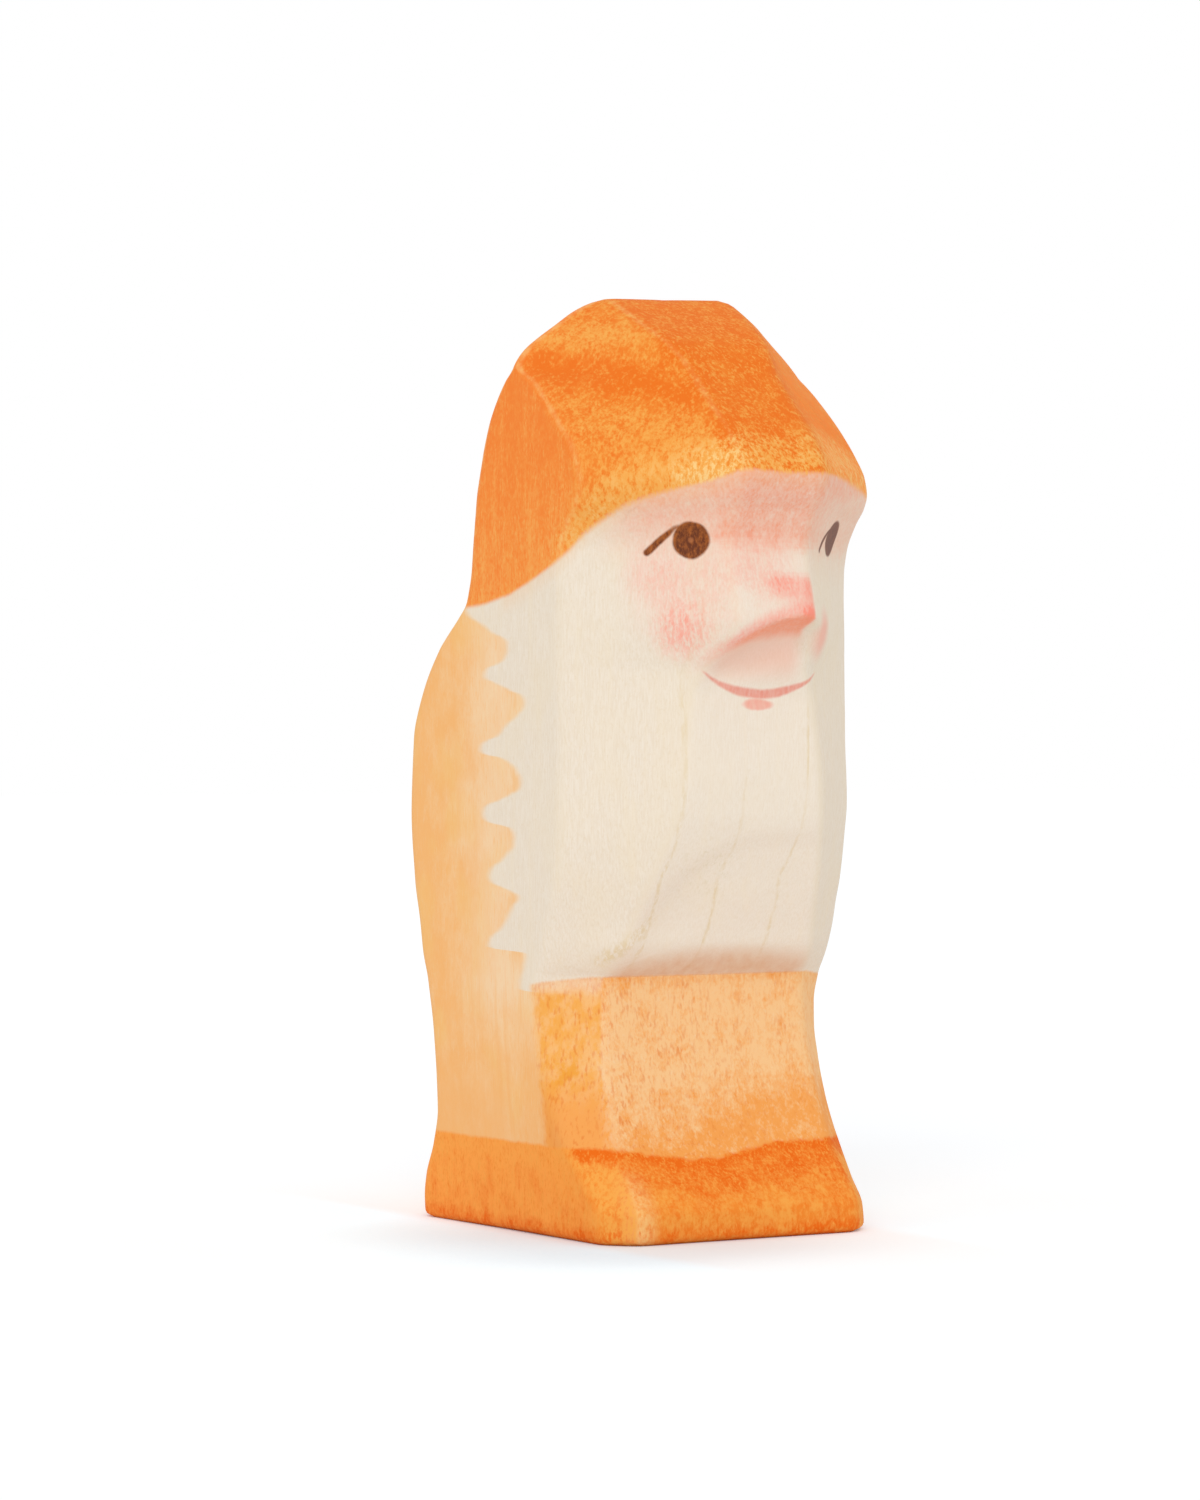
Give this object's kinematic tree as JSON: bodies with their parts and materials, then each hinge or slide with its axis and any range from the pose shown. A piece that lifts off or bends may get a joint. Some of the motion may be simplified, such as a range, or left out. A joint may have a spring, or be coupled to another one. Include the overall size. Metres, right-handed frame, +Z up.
{
  "type": "carved wooden figurine",
  "caption": "Small free-standing carved and stained maple dwarf figure with a tall cap, a long beard and a flared hem, resting on a flat underside.",
  "frame": {"origin": "middle of the whole figure's width and depth, on the plane of its flat underside", "axes": "+Z up, -Y the way the face looks, +X towards the figure's own left hand"},
  "size_m": [0.0258, 0.0369, 0.07],
  "materials": {
    "deep_orange_stain": "matt translucent stain",
    "skirt_stain": "matt translucent stain",
    "light_orange_stain": "matt translucent stain",
    "bare_maple": "bare, smoothly sanded",
    "pink_washed_maple": "bare with a thin pink wash",
    "orange_stain": "matt translucent stain"
  },
  "bodies": {
    "root": {"hem_band": "deep_orange_stain", "skirt": "skirt_stain", "coat": "light_orange_stain", "beard": "bare_maple", "face": "pink_washed_maple", "cap": "orange_stain"}
  },
  "joints": []
}
